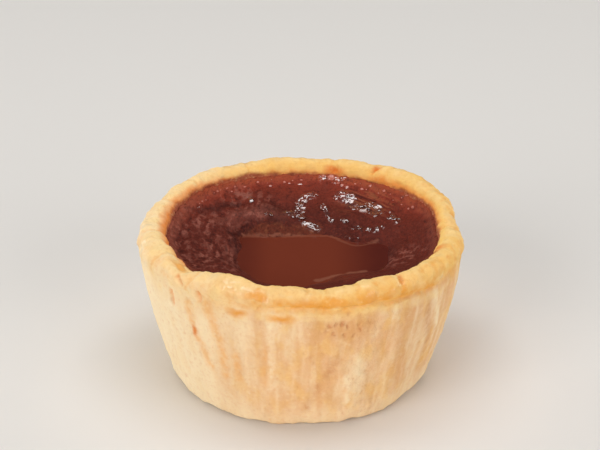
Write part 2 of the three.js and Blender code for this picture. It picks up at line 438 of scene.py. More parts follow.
# %% The cup's profile
RIM_RADIUS = 36.6 * MM
HEIGHT = 35.4 * MM
BEAD = 2.95 * MM
FOOT_RADIUS = 30.2 * MM
FOOT_ROUND = 2.4 * MM
RIM_DROP = 5.0 * MM  # from the crest down to the rim's lower edge
WALL_BULGE = 0.65 * MM
CRUST_FLOOR = 4.8 * MM
CAVITY_FOOT = 25.8 * MM
BEAD_FROM = -42  # the rim's bead starts at its lower edge, in degrees from level
BEAD_TO = 185
CUP_COLUMNS = 640
CUP_ROWS = {"underside": 10, "foot": 9, "wall": 66, "bead": 46, "inside": 8, "floor": 4}


def straight(start, end, rows, bulge=0.0):
    share = np.linspace(0, 1, rows, endpoint=False)[:, None]
    line = np.array(start) * (1 - share) + np.array(end) * share
    line[:, 0] += bulge * np.sin(np.pi * share[:, 0])
    return line


def arc(centre, radius, start, end, rows):
    turn = np.radians(np.linspace(start, end, rows, endpoint=False))
    return np.stack([centre[0] + radius * np.cos(turn), centre[1] + radius * np.sin(turn)], axis=-1)


bead_at = (RIM_RADIUS - BEAD, HEIGHT - BEAD)
rim_edge = (bead_at[0] + BEAD * math.cos(math.radians(BEAD_FROM)), HEIGHT - RIM_DROP)
inner_edge = (bead_at[0] - BEAD, bead_at[1])
foot_at = (FOOT_RADIUS - FOOT_ROUND, FOOT_ROUND)
cup_profile = np.vstack([
    straight((0, 0), (foot_at[0], 0), CUP_ROWS["underside"]),
    arc(foot_at, FOOT_ROUND, -90, -10, CUP_ROWS["foot"]),
    straight((FOOT_RADIUS, FOOT_ROUND), rim_edge, CUP_ROWS["wall"], WALL_BULGE),
    arc(bead_at, BEAD, BEAD_FROM, BEAD_TO, CUP_ROWS["bead"]),
    straight(inner_edge, (CAVITY_FOOT, CRUST_FLOOR), CUP_ROWS["inside"]),
    straight((CAVITY_FOOT, CRUST_FLOOR), (0, CRUST_FLOOR), CUP_ROWS["floor"]),
    [(0, CRUST_FLOOR)],
])
cup_net = turned_net("cup net", cup_profile, CUP_COLUMNS)

# %% [markdown]
# ### A sheet peeled off the cup
# Marks on the pastry are easiest to place on a flat sheet, as if the crust were peeled off and unrolled:
# so many degrees round from the front, and so many millimetres up over the surface. The net carries that
# height as an attribute called `rise`, which is 0 at the rim's lower edge, so a mark stays on the rolled
# rim wherever the hand pushed it.

# %% The unrolled sheet
steps = np.linalg.norm(np.diff(cup_profile, axis=0), axis=1)
along = np.concatenate([[0], np.cumsum(steps)])
rise = along - along[CUP_ROWS["underside"] + CUP_ROWS["foot"] + CUP_ROWS["wall"]]
rise_of_point = np.concatenate([np.repeat(rise[1:-1], CUP_COLUMNS), rise[:1], rise[-1:]])
cup_net.attributes.new("rise", "FLOAT", "POINT").data.foreach_set("value", rise_of_point.astype(np.float32))


def unrolled(where, rise):
    """The sheet's coordinates in metres: round from the front, and up from the rim's lower edge."""
    turn = where.maths("ARCTAN2", where.axis("X"), 0 - where.axis("Y"))
    return where.point(turn * RIM_RADIUS, rise)


def on_sheet(places):
    """Places given in degrees from the front and millimetres of rise, as points of the sheet."""
    return [(math.radians(turn) * RIM_RADIUS, rise * MM, 0) for turn, rise in places]


print("rise over the surface in mm: foot", round(rise.min() / MM, 1), "inside", round(rise.max() / MM, 1))

# %% [markdown]
# ### Marks of the hand and the tin
# The dough slid in the tin and left drag marks, stuck and tore in two places under the rim, cracked on
# the rim where it was bent, folded over at the front right, and was pinched all round with finger and
# thumb. A line is a list of places, and a spot is its place and how far it reaches round and up, in
# millimetres.

# %% Marks on the sheet
FOLD = [(-14, 1.0), (0, 1.6), (10, 1.4), (25, 2.0), (35, 1.5), (45, 0.7), (56, -0.6), (72, -0.6)]
DRAG_MARKS = [
    [(-41.7, -1.6), (-40.1, -8.4), (-35.3, -17.0)],
    [(-34.1, -0.3), (-31.0, -6.3), (-29.4, -11.4), (-29.1, -18.4)],
    [(-23.9, -12.7), (-23.4, -18.0)],
    [(-11.8, -9.3), (-12.7, -18.0)],
    [(12.2, -11.4), (10.4, -15.8)],
    [(6.6, -19.2), (1.8, -25.4)],
    [(48.3, -2.0), (51.1, -8.4), (56.3, -15.3)],
]
PALE_LINES_AND_HIGHLIGHT = [
    [(-10.0, 4.2), (-9.9, -6.3), (-11.4, -19.2)],
    [(32.7, 0.4), (33.2, -2.9)],
    [(51.3, 0.6), (54.7, -5.4), (59.9, -11.9)],
    [(17.0, -16.6), (18.2, -24.0)],
    [(20.4, -11.0), (20.5, -16.6)],
    # this last line is a painted highlight on a small ridge low on the rim
    [(-27.5, 2.4), (-23.0, 1.5)],
]
CRACKS = [
    [(-50.2, -0.3), (-49.9, -2.0), (-49.6, -3.7)],
    [(-46.9, 4.6), (-45.4, 3.7), (-44.0, 2.9)],
    [(37.4, 6.4), (36.4, 4.6)],
    [(-37.0, 2.0), (-36.6, 0.2)],
    [(147.5, 9.4), (146.0, 6.9)],
    [(165.0, 10.6), (164.0, 9.0)],
    [(-152.0, 4.0), (-150.5, -1.0)],
    [(101.0, 4.6), (102.0, 0.4)],
]
PINCHED_AT = [-158, -131, -112, -83, -61, -41, -13, 1.5, 8.5, 19.5, 36, 58, 88, 119, 141, 166]
PINCHES = [[(turn - 1.0, 2.0), (turn + 0.8, 6.5), (turn + 0.4, 10.0)] for turn in PINCHED_AT]
TEARS = [((-22.0, -0.6), (4.0, 1.7)), ((-6.5, -0.9), (4.8, 1.5))]
PORES = [((15.5, -3.0), (7.5, 5.0))]
SWELLS = [  # the foot bulges at the right, and the crest has two dents and a hump; the last number is a share
    ((44, -27), (10, 9), 1.0),
    ((-50, 8.6), (6.5, 4.5), -1.2),
    ((57, 8.8), (15, 4.5), -0.9),
    ((-26, 8.4), (5, 4), 0.7),
]
DRAG_WIDTH = 2.0 * MM
PALE_WIDTH = 1.5 * MM
CRACK_WIDTH = 0.8 * MM
FOLD_WIDTH = 1.1 * MM
FOLD_TURN = 18  # the middle of the fold, in degrees from the front
PINCH_WIDTH = 1.6 * MM
print("lines:", len(DRAG_MARKS + PALE_LINES_AND_HIGHLIGHT + CRACKS + PINCHES) + 1, "spots:", len(TEARS + PORES + SWELLS))

# %% Drawing on the sheet
TORN = 0.55 * MM  # how far a mark strays from its line
TORN_SIZE = 2.2 * MM
# the browner hollows and paler knobs are painted shade and painted highlight on the relief
CUP_SEED = 3.0  # the finish uses the same noise as the relief, so that hollows are browner than knobs
KNOB_SIZE = 2.4 * MM
PORE_SPACING = 1.8 * MM
PORE_SIZE = 0.6 * MM
PITTED = 0.4 * MM  # how far a pore is pulled out of round
PITTED_SIZE = 0.9 * MM
PORE_OVAL = 0.6  # a pore's width as a share of its height


def torn(sheet, where, seed):
    """The sheet pulled about, so that no mark on it is a ruled line."""
    return ragged(sheet, where, TORN, TORN_SIZE, seed + 9)


def knobbly(where, size, seed):
    return uneven(where, size, seed + 1, 3.0)


def strokes(sheet, lines, width, core=0.25):
    return either([stroke(sheet, on_sheet(line), width, core) for line in lines])


def spots(pattern, places, core=0.3, to_points=on_sheet):
    return either([
        spot(pattern, to_points([at])[0], (across * MM, along * MM), core)
        for at, (across, along) in places
    ])


def toward(where, turn, low, high):
    """0 to 1 as the cup turns towards an angle from the front, over a span of reach in millimetres."""
    heading = (math.sin(math.radians(turn)), -math.cos(math.radians(turn)), 0)
    return smooth(where.vector("DOT_PRODUCT", heading, "Value"), low * MM, high * MM)


def drawn_down(where, stretch):
    """Coordinates on which noise is drawn out down the wall."""
    turn = where.flat().vector("NORMALIZE").scaled(RIM_RADIUS)
    return turn.vector("ADD", where.times(0, 0, 1 / stretch))


def pore_field(where, rise, sheet, torn_sheet, seed):
    """How far each place is from a pore, and how strongly pores show there."""
    here_and_there = smooth(cloudy(where, 5 * MM, seed + 4), 0.5, 0.64) * smooth(rise, 1.0 * MM, -1.0 * MM)
    pitted = ragged(sheet, where, PITTED, PITTED_SIZE, seed + 8, (1, PORE_OVAL, 0))
    return cells(pitted, PORE_SPACING, seed + 5), either([0.35 * here_and_there, spots(torn_sheet, PORES)])


print("pores every", round(PORE_SPACING / MM, 1), "mm")

# %% [markdown]
# ### The cup's tree
# First the net is draped, then the relief is raised along the surface's own normals: lumps and knobs on
# the rim, crumb everywhere, drag marks and pores on the wall, and the marks above. Last, what the relief
# pushed below the table is brought back up to it, so that the tart stands flat.

# %% Drape the cup
CUP_AMOUNTS = {
    "Pressed cup": solids["pastry_cup"],
    "Ironing": 8,
    "Lump height": 0.34 * MM,
    "Lump size": 4.2 * MM,
    "Knob height": 0.3 * MM,
    "Knob size": KNOB_SIZE,
    "Crumb height": 0.1 * MM,
    "Crumb size": 1.1 * MM,
    "Drag depth": 0.16 * MM,
    "Drag width": 2.6 * MM,
    "Pore depth": 0.25 * MM,
    "Pore size": PORE_SIZE,
    "Fold depth": 0.45 * MM,
    "Crack depth": 0.5 * MM,
    "Pinch depth": 0.2 * MM,
    "Swell": 0.7 * MM,
    "Seed": CUP_SEED,
}
cup_tree, given = open_tree("pressed pastry", CUP_AMOUNTS)
seed = given["Seed"]
place = position(seed)
nearest = place.node(
    "GeometryNodeSampleNearestSurface",
    {"data_type": "FLOAT_VECTOR"},
    {"Mesh": shape_of(given["Pressed cup"]), "Value": place, "Sample Position": place},
)
draped = moved(given["Net"], Offset=ironed(nearest.vector("SUBTRACT", place), given["Ironing"]))
print("amounts for the cup:", len(CUP_AMOUNTS))

# %% The cup's crumb
rise_here = carried(seed, "rise")
sheet = unrolled(place, rise_here)
torn_sheet = torn(sheet, place, seed)
on_rim = smooth(rise_here, -0.8 * MM, 2.0 * MM)
on_wall = smooth(rise_here, -0.4 * MM, -5 * MM) * smooth(rise_here, -31 * MM, -25 * MM)
at_foot = smooth(rise_here, -25 * MM, -29 * MM) * smooth(rise_here, -34 * MM, -31.5 * MM)
lumpy = 0.35 + 0.65 * either([on_rim, at_foot])
lumps = given["Lump height"] * uneven(place, given["Lump size"], seed) * lumpy
knobs = given["Knob height"] * knobbly(place, given["Knob size"], seed) * (0.3 + 0.7 * on_rim)
crumb = given["Crumb height"] * uneven(place, given["Crumb size"], seed + 2, 4.0)
drag = given["Drag depth"] * uneven(drawn_down(place, 6.0), given["Drag width"], seed + 3, 3.0) * on_wall
to_pore, pore_share = pore_field(place, rise_here, sheet, torn_sheet, seed)
pores = given["Pore depth"] * pore_share * smooth(to_pore, given["Pore size"], 0.0)
print("so far:", len(cup_tree.nodes), "nodes")

# %% The cup's marks
folded = toward(place, FOLD_TURN, 20, 32)
fold = given["Fold depth"] * stroke(torn_sheet, on_sheet(FOLD), FOLD_WIDTH, 0.1) * folded
marks = given["Crack depth"] * (
    strokes(torn_sheet, CRACKS, CRACK_WIDTH)
    + 0.4 * spots(torn_sheet, TEARS, 0.0)
    + 0.12 * strokes(torn_sheet, DRAG_MARKS, DRAG_WIDTH)
    - 0.3 * strokes(torn_sheet, PALE_LINES_AND_HIGHLIGHT, PALE_WIDTH)
)
pinches = given["Pinch depth"] * strokes(torn_sheet, PINCHES, PINCH_WIDTH, 0.0)
swell = given["Swell"] * sum(height * spots(sheet, [(at, reach)]) for at, reach, height in SWELLS)
kneaded = raised(draped, lumps + knobs + crumb + drag + swell - pores - fold - marks - pinches)
above_table = place.maths("MAXIMUM", place.axis("Z"), 0.0)
standing = moved(kneaded, Position=place.point(place.axis("X"), place.axis("Y"), above_table))
close_tree(standing, given["Finish"])

# %% [markdown]
# ## Colours in words
# Colours are written as they look on a screen, from 0 to 255, and turned into the light values that a
# shader wants. `layered` lays coats of colour over each other, each through its own mask, as baking does.

# %% Colour helpers


def tint(red, green, blue):
    """A colour as seen on a screen, for a shader."""
    shares = [v / 255 for v in (red, green, blue)]
    return tuple(v / 12.92 if v <= 0.04045 else ((v + 0.055) / 1.055) ** 2.4 for v in shares) + (1.0,)


def layered(colour, coats):
    """A colour under coats, each of them a mask and the colour that it lays on."""
    for mask, over in coats:
        colour = mask.node("ShaderNodeMix", {"data_type": "RGBA"}, {0: mask, 6: colour, 7: over}, 2)
    return colour


def open_finish(name):
    """A new material, its shader's inputs, and the wire of the object's own coordinates."""
    finish = bpy.data.materials.new(name)
    finish.use_nodes = True
    shader = finish.node_tree.nodes["Principled BSDF"].inputs
    where = Wire(finish.node_tree).node("ShaderNodeTexCoord", out="Object")
    return finish, shader, where


def noted(where, name):
    """A number that the finished mesh carries, for a shader."""
    return where.node("ShaderNodeAttribute", {"attribute_name": name}, None, "Fac")


def feed(shader, values):
    """Links wires to the shader's inputs by name, and sets what is the same all over."""
    for name, value in values.items():
        if isinstance(value, Wire):
            value.tree.links.new(value.socket, shader[name])
        else:
            shader[name].default_value = value


def bumped(height, distance):
    """A normal from a height in shares of a distance."""
    values = {"Height": height, "Distance": distance, "Strength": 1.0}
    return height.node("ShaderNodeBump", None, values, "Normal")


print("colours are in sRGB, 0 to 255")

# %% [markdown]
# ## The pastry's finish
# Shortcrust bakes from the edge: the rim goes golden and its underside toasts, a colour that is partly
# painted shade under the bead, while the wall, which the tin shades, stays cream with tan streaks where it
# touched the metal. One texture can't know these places, so each is a mask, worked out from the height over
# the surface or from a place on the sheet, and the colours are laid over each other in baking order.

# %% Pastry colours and stains
CREAM = tint(250, 229, 190)
TAN = tint(222, 167, 103)
PEACH = tint(235, 187, 138)
HONEY = tint(240, 193, 117)
STREAK = tint(223, 162, 98)
DRAGGED = tint(240, 176, 96)
SCORED = tint(206, 140, 84)
GOLD = tint(241, 196, 110)
PALE_GOLD = tint(248, 217, 152)
# a toasted orange, also laid as painted shade below the crest, along the fold and in the knobs' hollows
TOAST_AND_SHADE = tint(234, 159, 50)
AMBER = tint(228, 130, 44)
SEEP = tint(234, 137, 46)
SUNNY = tint(247, 201, 106)
RUST = tint(140, 58, 34)
BURNT = tint(120, 50, 30)
FILMED = tint(156, 68, 44)
FROTHED = tint(200, 126, 96)
CRATER = tint(196, 122, 68)
TOASTED_SPOTS = [
    ((-14.5, 4.6), (4.6, 2.2)),
    ((10, 2.8), (7, 1.9)),
    ((37, 2.5), (6, 1.7)),
    ((-50.5, 7.2), (4.8, 2.4)),
]
AMBER_SPOTS = [
    ((165, 10.4), (4.4, 1.9)),
    ((146.7, 7.8), (1.8, 1.9)),
    ((-40.1, -8.4), (1.2, 2.3)),
    ((-145, 10.9), (5.5, 1.1)),
]
SHEEN = [((-23.0, 5.9), (6.5, 1.1)), ((-6.0, 5.0), (2.6, 0.8))]
DRIP = [(62.5, 11.0), (65.0, 9.4), (68.0, 7.8)]
print("spots:", len(TOASTED_SPOTS + AMBER_SPOTS + SHEEN))

# %% [markdown]
# ### The wall
# Dough that slid in a tin is streaked from top to bottom. Noise that is drawn out down the wall gives the
# bands, and plain noise the speckle between them. The left side baked less, so it stays paler.

# %% Pastry finish: the wall
pastry, pastry_shader, where = open_finish("baked shortcrust")
rise_seen = noted(where, "rise")
sheet = unrolled(where, rise_seen)
torn_sheet = torn(sheet, where, CUP_SEED)
browner = smooth(where.axis("X"), -26 * MM, 0.0)
mottle = smooth(cloudy(drawn_down(where, 2.5), 6 * MM, 11.0, 5.0), 0.36, 0.64)
patchy = smooth(cloudy(drawn_down(where, 1.6), 3.2 * MM, 24.0, 4.0), 0.4, 0.62)
honeyed = smooth(cloudy(drawn_down(where, 1.5), 4 * MM, 28.0, 4.0), 0.46, 0.66)
drawn = ragged(drawn_down(where, 6.0), where, 0.5 * MM, 5 * MM, 14.0, (1, 1, 1))
tan_bands = smooth(cloudy(drawn, 3.8 * MM, 15.0, 2.0), 0.46, 0.7)
pale_bands = smooth(cloudy(drawn, 2.8 * MM, 16.0, 2.0), 0.46, 0.7)
fine_bands = uneven(drawn_down(where, 10.0), 1.1 * MM, 27.0, 2.0)
streaky = (0.2 + 0.5 * smooth(where.axis("X"), 8 * MM, 24 * MM)) * (0.4 + 0.6 * mottle)
speckle = uneven(where, 1.3 * MM, 44.0, 3.0)
broken = 0.5 + 0.5 * smooth(cloudy(where, 1.6 * MM, 26.0, 3.0), 0.4, 0.6)
scoring = layered(DRAGGED, [(smooth(where.axis("X"), -12 * MM, 2 * MM), SCORED)])
wall_colour = layered(CREAM, [
    (browner * (0.45 + 0.55 * mottle), TAN),
    (0.5 * browner * patchy, PEACH),
    ((0.15 + 0.45 * browner) * honeyed, HONEY),
    ((0.12 + 0.33 * browner) * tan_bands * (0.4 + 0.6 * patchy), STREAK),
    ((0.15 + 0.3 * browner) * pale_bands, CREAM),
    (0.35 * streaky * smooth(fine_bands, 0.1, 1.2), STREAK),
    (0.5 * streaky * smooth(fine_bands, -0.1, -1.2), CREAM),
    (0.3 * smooth(speckle, 0.2, 1.2), STREAK),
    (0.3 * smooth(speckle, -0.2, -1.2), CREAM),
    (0.45 * smooth(rise_seen, -23 * MM, -29 * MM), CREAM),
    (0.6 * broken * strokes(torn_sheet, DRAG_MARKS, DRAG_WIDTH, 0.0), scoring),
    # pale streaks, one of which is a painted highlight low on the rim
    (0.75 * broken * strokes(torn_sheet, PALE_LINES_AND_HIGHLIGHT, PALE_WIDTH, 0.0), CREAM),
])
print("wall:", len(pastry.node_tree.nodes), "nodes")

# %% [markdown]
# ### The rim
# The rim is golden, and its crest is painted paler, a painted highlight. Below its crest and along the fold
# it is browner, partly from baking and partly as painted shade under the bead. Its knobs are painted paler
# and the hollows between them browner, as painted highlight and painted shade: the same noise and the same
# lines as in the cup's tree keep the colour with the shape.

# %% Pastry finish: the rim
loose_sheet = ragged(sheet, where, 1.4 * MM, 3.0 * MM, 13.0)
folded = toward(where, FOLD_TURN, 20, 31)
leftward = toward(where, -88, 8, 28)
rim_wander = 1.2 * MM * uneven(where, 5 * MM, 25.0, 3.0)
rim_seen = smooth(rise_seen + rim_wander, -6.0 * MM + 5.0 * MM * folded, 4.5 * MM - 2.6 * MM * folded)
crest = smooth(rise_seen + rim_wander, 3.5 * MM, 6.5 * MM) * smooth(rise_seen, 10 * MM, 8 * MM)
below_crest = smooth(rise_seen, 8 * MM, 4 * MM) * (0.3 + 0.7 * browner)
knob_seen = knobbly(where, KNOB_SIZE, CUP_SEED)
# the band just above the fold, under the bead's overhang: partly toasting, partly painted shade
fold_toast_and_shade = stroke(torn_sheet, on_sheet([(turn, rise + 1.2) for turn, rise in FOLD]), 2.4 * MM, 0.0)
under_fold = stroke(torn_sheet, on_sheet([(turn, rise - 1.9) for turn, rise in FOLD]), 1.6 * MM, 0.1)
in_patches = smooth(cloudy(where, 4.5 * MM, 46.0, 3.0), 0.42, 0.58)
# patchy toasting below the crest, partly painted shade under the bead
toast_cloud = smooth(cloudy(where, 3.5 * MM, 18.0, 4.0), 0.48, 0.66) * rim_seen * below_crest
toast_and_shade = either([
    0.85 * spots(loose_sheet, TOASTED_SPOTS),
    fold_toast_and_shade * folded * (0.35 + 0.65 * in_patches),
    0.55 * toast_cloud,
    spots(torn_sheet, TEARS, 0.0),
])
rim_colour = layered(wall_colour, [
    (rim_seen * (0.1 + 0.55 * browner + 0.35 * mottle), GOLD),
    # the rim's crest painted paler: a painted highlight
    ((0.25 + 0.4 * patchy) * crest, PALE_GOLD),
    # knobs of the relief painted paler: a painted highlight
    (0.65 * rim_seen * smooth(knob_seen, 0.1, 1.0), PALE_GOLD),
    ((0.55 - 0.35 * leftward) * smooth(rise_seen, 6.8 * MM, 9.0 * MM), SUNNY),
    # hollows between the knobs, most below the crest, painted browner: painted shade
    (rim_seen * (0.15 + 0.5 * below_crest) * smooth(knob_seen, -0.1, -1.0), TOAST_AND_SHADE),
    (0.5 * broken * under_fold * folded, PALE_GOLD),
    # toasted spots and tears, with the fold band that is partly painted shade
    (0.9 * toast_and_shade, TOAST_AND_SHADE),
    (0.3 * broken * strokes(torn_sheet, PINCHES, PINCH_WIDTH / 2, 0.0), TOAST_AND_SHADE),
    (0.95 * spots(torn_sheet, AMBER_SPOTS, 0.1), AMBER),
])
print("wall and rim:", len(pastry.node_tree.nodes), "nodes")

# %% [markdown]
# ### Stains, crumb and shine
# Where the filling boiled over the crest it left an orange stain, and further in a dry red film and a
# burnt line. Then come crumbs and pores, and last the butter, which shines through a thin clear coat.

# %% Pastry finish: caramel stains
right_back = toward(where, 120, 25, 29)
right_side = toward(where, 98, 24, 29)
left_back = toward(where, -132, 24, 28)
wander = 0.7 * MM * uneven(where, 2.5 * MM, 19.0, 4.0)
seep_start = 9.9 * MM - 1.9 * MM * leftward - 1.5 * MM * right_back
seep_end = 11.5 * MM - 0.7 * MM * leftward - 0.9 * MM * right_back
seeping = 0.55 + 0.4 * either([leftward, 0.5 * right_back])
film_line = 10.7 * MM - 0.8 * MM * left_back - 0.7 * MM * right_side
film = smooth(rise_seen + 0.7 * wander, film_line - 0.1 * MM, film_line + 1.1 * MM)
filmed = layered(FILMED, [(0.55 * smooth(uneven(where, 1.0 * MM, 51.0, 3.0), 0.1, 1.0), FROTHED)])
stained_colour = layered(rim_colour, [
    (seeping * smooth(rise_seen + wander, seep_start, seep_end), SEEP),
    (0.92 * film, filmed),
    (smooth(rise_seen + 0.5 * wander, 11.2 * MM, 12.3 * MM), BURNT),
    (0.85 * stroke(torn_sheet, on_sheet(DRIP), 2.4 * MM, 0.0), AMBER),
    (0.9 * stroke(torn_sheet, on_sheet(DRIP[:2]), 2.0 * MM, 0.1), RUST),
    (0.55 * broken * strokes(torn_sheet, CRACKS, CRACK_WIDTH, 0.0), SEEP),
])
print("wall, rim and stains:", len(pastry.node_tree.nodes), "nodes")

# %% Pastry finish: crumb, pores and butter
crumbs = cloudy(where, 0.8 * MM, 17.0, 3.0)
to_pore, pore_share = pore_field(where, rise_seen, sheet, torn_sheet, CUP_SEED)
pore_dots = smooth(to_pore, PORE_SIZE + 0.2 * MM * speckle, 0.0) * pore_share
pastry_colour = layered(stained_colour, [
    (0.22 * smooth(crumbs, 0.5, 0.72), STREAK),
    (0.22 * smooth(crumbs, 0.48, 0.28), PALE_GOLD),
    ((0.3 + 0.4 * patchy) * pore_dots, CRATER),
])
grain = cloudy(where, 0.5 * MM, 22.0, 4.0) - 0.6 * pore_dots
on_crest = rim_seen * smooth(rise_seen, 8 * MM, 6.5 * MM)
greasy = 0.5 * on_crest * smooth(cloudy(where, 4 * MM, 23.0, 3.0), 0.5, 0.65)
buttery = either([greasy, spots(torn_sheet, SHEEN)])
feed(pastry_shader, {
    "Base Color": pastry_colour,
    "Roughness": 0.7 - 0.25 * buttery,
    "Coat Weight": buttery,
    "Normal": bumped(grain, 0.2 * MM),
    "Diffuse Roughness": 0.7,
    "Specular IOR Level": 0.35,
    "Coat Roughness": 0.2,
})
print("pastry finish:", len(pastry.node_tree.nodes), "nodes")

# %% Make the cup
pastry_crust = make_piece("pastry_crust", cup_net, cup_tree, CUP_AMOUNTS, pastry)

# %% [markdown]
# ## The filling
# The filling boiled in the oven, rose, and sank as it cooled: steep and glossy at the back, dull and
# crinkled where a skin dried on the left, smooth at the right. Its net is a round puck whose radius and
# depth are 1. A tree sends rays at the solid to learn its outline and its height in each direction, so
# the puck takes the solid's shape, and it is tucked a little way into the pastry so that no gap shows.

# %% A puck of net
FILLING_RINGS = np.concatenate([np.linspace(0, 0.3, 5, endpoint=False), np.linspace(0.3, 1, 112)])
FILLING_COLUMNS = 600
RAY_LENGTH = 200 * MM
OUTSIDE = 100 * MM  # further from the axis than any piece


def puck(name, rings, columns, side_rows=4, under_rings=5):
    """A closed puck of radius 1 whose top is at 0 and whose underside is at -1."""
    under = [(r, -1.0) for r in np.linspace(0, 1, under_rings, endpoint=False)]
    side = [(1.0, z) for z in np.linspace(-1, 0, side_rows, endpoint=False)]
    top = [(r, 0.0) for r in rings[::-1]]
    return turned_net(name, under + side + top, columns)


def in_puck(place):
    """A point's share of the puck's radius, its heading from the axis, and its share of the depth."""
    return place.flat().length(), place.flat().vector("NORMALIZE"), 0 - place.axis("Z")


def sounded(solid, source, direction):
    """Where a ray from the source lands on the solid."""
    values = {"Target Geometry": solid, "Source Position": source, "Ray Direction": direction}
    return solid.node("GeometryNodeRaycast", None, {**values, "Ray Length": RAY_LENGTH}, "Hit Position")


def at_radius(heading, radius, height):
    """The point at that radius and height in a direction."""
    return heading.scaled(radius).vector("ADD", heading.point(z=height))


def outline_of(solid, heading, height):
    """Distance from the axis to the solid's side, in each direction, at a height."""
    return sounded(solid, at_radius(heading, OUTSIDE, height), heading.scaled(-1.0)).flat().length()


filling_net = puck("filling net", FILLING_RINGS, FILLING_COLUMNS)

# %% [markdown]
# ### Places on the filling
# Seen from above, the filling has a dry skin at the left, which ends in a brink beside the pool, froth on
# the slope at the back, a few round bubbles that left a ring, and the pool's shore. Places are in
# millimetres from the axis, and a patch is its place and how far it reaches across and along.

# %% Places on the filling
SKIN = [((-23, 0), (15, 22)), ((-13, 19), (9, 8))]
SHADED = [((19, 1), (4, 7)), ((-5.5, 17.5), (5, 4)), ((11, 10), (6, 4))]
SHEEN_DUSTED_PATCHES = [((23, -4), (8, 7))]
COMBED = [((17, 21), (11, 8))]
SYRUPY = [((8, -12), (9, 4))]
FROTH = [  # the line of each patch, how far it reaches from the line, and how high it stands
    ([(2.9, 24.4), (0.8, 23.4), (0.1, 21.5), (-0.5, 18.4)], 1.4, 2.0),
    ([(-0.6, 17.6), (-2.7, 17.0)], 1.7, 2.0),
    ([(0.6, 15.4), (1.5, 13.8), (3.6, 13.0)], 1.3, 1.7),
    ([(9.6, 23.7), (11.6, 22.4), (12.2, 19.8), (14.8, 18.2)], 2.1, 2.2),
    ([(16.2, 19.4), (17.8, 18.4), (18.3, 17.1), (17.0, 15.7)], 1.6, 2.2),
    ([(19.4, 16.1), (20.7, 14.8), (22.2, 11.5)], 1.3, 1.8),
    ([(5.3, 20.7), (6.0, 18.0), (7.3, 14.6)], 0.8, 1.6),
    ([(9.8, 14.3), (10.4, 13.9)], 0.9, 1.6),
    ([(11.9, 11.9), (14.1, 9.8), (17.0, 9.7), (18.5, 10.3)], 0.9, 1.9),
    ([(10.7, 9.0), (12.9, 7.9)], 0.7, 1.6),
    ([(5.3, 28.7), (8.4, 28.2), (11.7, 27.7)], 1.2, 1.7),
    ([(24.6, 19.2), (25.0, 19.6)], 0.8, 1.4),
    ([(-11.8, 21.6), (-11.5, 20.4)], 0.9, 1.6),
    ([(-7.7, 15.2), (-7.2, 15.0)], 0.8, 1.4),
]
RINGS = [  # the middle of each ring and its radius
    ((12.1, 20.2), 0.85), ((17.5, 17.0), 1.0), ((20.7, 15.0), 0.6),
    ((23.1, 10.9), 0.5), ((24.3, 19.5), 0.5), ((14.6, 10.9), 0.5),
]
RING_OVAL = 1.8  # rings are this much longer from front to back
RING_MARGIN = 0.45 * MM  # froth keeps this far from a ring
BRINK = [(-3.6, 14.6), (-8.5, 13.4), (-13.2, 11.6), (-15.6, 8.2), (-14.0, 1.0), (-14.2, -5.1)]
FLAP = [(-4.5, 16.2), (-8.5, 16.9), (-12.0, 15.8), (-15.5, 14.2), (-18.2, 11.8)]
GROOVE = [(-25.4, 12.4), (-21.9, 15.4), (-19.4, 17.0), (-16.9, 18.7), (-14.2, 20.4)]
TERRACE = [(-12.0, 9.6), (-6.0, 11.8), (3.0, 12.2)]
BACK_SHORE = [
    (-13.3, 10.6), (-8.2, 10.3), (2.2, 10.8), (5.9, 10.8),
    (8.0, 9.8), (10.4, 7.3), (12.9, 5.9), (17.5, 7.3),
]
FRONT_SHORE = [(3.6, -11.1), (7.7, -8.8), (11.0, -7.4), (14.4, -6.7)]
print("patches of froth:", len(FROTH), "rings:", len(RINGS))

# %% Drawing on the filling
FILLING_SEED = 5.0  # shared by the relief and the finish
LOOSE = 1.2 * MM  # how far a patch strays from its place
LOOSE_SIZE = 4 * MM
SKIN_SIZE = 1.8 * MM
COMB_STRETCH = 3 * MM  # one radian round the axis counts as this much


def on_plan(places):
    """Places seen from above, in millimetres, as points."""
    return [(x * MM, y * MM, 0) for x, y in places]


def path(plan, points, width, core=0.25):
    return stroke(plan, on_plan(points), width, core)


def patches(plan, places, core=0.3):
    return spots(plan, places, core, on_plan)


def froth_on(plan):
    return either([path(plan, line, reach * MM, 0.35) for line, reach, height in FROTH])


def froth_height(plan):
    """As froth_on, but each patch as high as it stands."""
    return either([height * path(plan, line, reach * MM, 0.35) for line, reach, height in FROTH])


def in_ring(plan, at, radius):
    """1 over a ring and what it holds."""
    reach = radius * MM + RING_MARGIN
    return spot(plan, on_plan([at])[0], (reach, reach * RING_OVAL), 0.7)


def ringed(plan, at, radius, width):
    """1 on an oval seen from above."""
    away = plan.vector("SUBTRACT", on_plan([at])[0]).times(1, 1 / RING_OVAL, 0)
    return smooth(abs(away.length() - radius * MM), width, 0.0)


def drawn_back(where):
    """Coordinates on which noise is drawn out from front to back, as the skin crinkled."""
    return where.times(1.0, 0.5, 1.0)


def loosened(plan, where, seed):
    """The plan pulled about, so that no patch on it is a plain oval."""
    return ragged(plan, where, LOOSE, LOOSE_SIZE, seed + 9)


def crinkled(where, size, seed):
    """Ridges of the dry skin, from 0.5 on a ridge down."""
    return 0.5 - abs(uneven(drawn_back(where), size, seed, 2.0))


def worn_away(where, seed):
    """1 where a line is deep and 0 where it is worn."""
    return smooth(cloudy(where, 2.2 * MM, seed + 7, 3.0), 0.4, 0.6)


def drawn_round(where):
    """Coordinates on which noise is drawn out round the axis, as the filling was combed when it sank."""
    turn = where.maths("ARCTAN2", where.axis("Y"), where.axis("X"))
    return where.point(where.flat().length(), turn * COMB_STRETCH)


print("the skin's crinkles are", round(SKIN_SIZE / MM, 1), "mm across")

